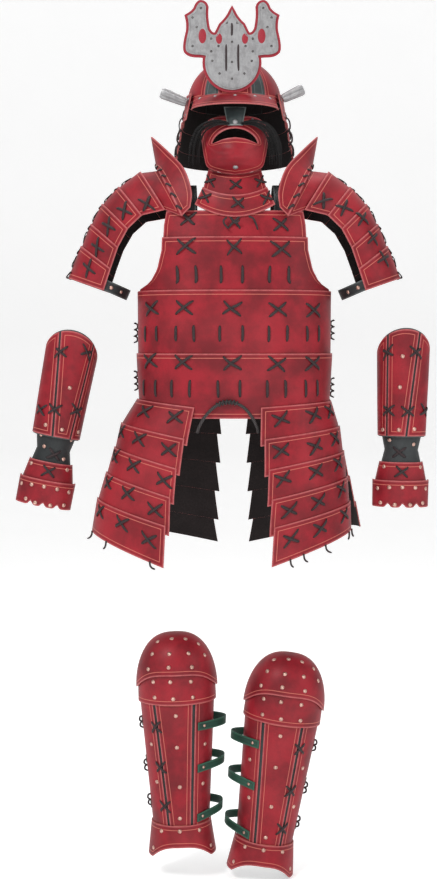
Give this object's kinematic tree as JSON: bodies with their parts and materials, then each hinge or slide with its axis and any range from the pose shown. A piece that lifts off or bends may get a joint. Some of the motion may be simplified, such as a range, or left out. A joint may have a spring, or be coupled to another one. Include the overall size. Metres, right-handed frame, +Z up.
{
  "type": "samurai armour set",
  "caption": "Worn set of laced lamellar leather armour in the old Japanese manner: crested helmet, moustached half mask, cuirass, shoulder guards, tassets, gauntlets and greaves.",
  "frame": {"origin": "middle plane of the cuirass, level with the shoulders that carry the set", "axes": "+Z up along the wearer, +X towards the side that a viewer sees on the right, -Y out of the front of the armour"},
  "size_m": [0.844, 0.325, 1.7626],
  "materials": {
    "red_leather": "dyed crimson, waxed, worn edges",
    "dark_leather": "dark grey-green, soft",
    "crest_backing": "bright red, satin",
    "silver_leather": "rubbed silver",
    "green_strap": "dark green, waxed",
    "black_cord": "braided, matt",
    "black_hair": "horsehair, soft sheen"
  },
  "bodies": {
    "root": {"cuirass_front_1": "red_leather", "cuirass_back_1": "red_leather", "cuirass_front_2": "red_leather", "cuirass_back_2": "red_leather", "cuirass_front_3": "red_leather", "cuirass_back_3": "red_leather", "cuirass_front_4": "red_leather", "cuirass_back_4": "red_leather", "shoulder_strap_left": "dark_leather", "shoulder_strap_right": "dark_leather", "throat_guard_upper": "red_leather", "throat_guard_lower": "red_leather", "mask_face": "red_leather", "mask_nose_plate": "dark_leather", "mask_moustache_left": "black_hair", "mask_moustache_right": "black_hair", "helmet_bowl": "red_leather", "helmet_visor": "red_leather", "helmet_neck_guard": "red_leather", "helmet_flap_left": "red_leather", "helmet_scroll_left": "silver_leather", "helmet_flap_right": "red_leather", "helmet_scroll_right": "silver_leather", "helmet_crest_backing": "crest_backing", "helmet_crest_plate": "silver_leather", "shoulder_yoke_left": "red_leather", "collar_wing_left": "red_leather", "shoulder_guard_left": "red_leather", "arm_strap_left": "dark_leather", "shoulder_yoke_right": "red_leather", "collar_wing_right": "red_leather", "shoulder_guard_right": "red_leather", "arm_strap_right": "dark_leather", "tasset_front_left": "red_leather", "tasset_back_left": "red_leather", "tasset_front_right": "red_leather", "tasset_back_right": "red_leather", "waist_cord": "black_cord", "gauntlet_left_forearm": "red_leather", "gauntlet_left_wrist": "dark_leather", "gauntlet_left_hand_upper": "red_leather", "gauntlet_left_hand_lower": "red_leather", "gauntlet_right_forearm": "red_leather", "gauntlet_right_wrist": "dark_leather", "gauntlet_right_hand_upper": "red_leather", "gauntlet_right_hand_lower": "red_leather", "greave_left_shin": "red_leather", "greave_left_knee_cap": "red_leather", "greave_left_knee_lame": "red_leather", "greave_left_ankle": "red_leather", "greave_left_strap_1": "green_strap", "greave_left_strap_2": "green_strap", "greave_left_strap_3": "green_strap", "greave_right_shin": "red_leather", "greave_right_knee_cap": "red_leather", "greave_right_knee_lame": "red_leather", "greave_right_ankle": "red_leather", "greave_right_strap_1": "green_strap", "greave_right_strap_2": "green_strap", "greave_right_strap_3": "green_strap"}
  },
  "joints": []
}
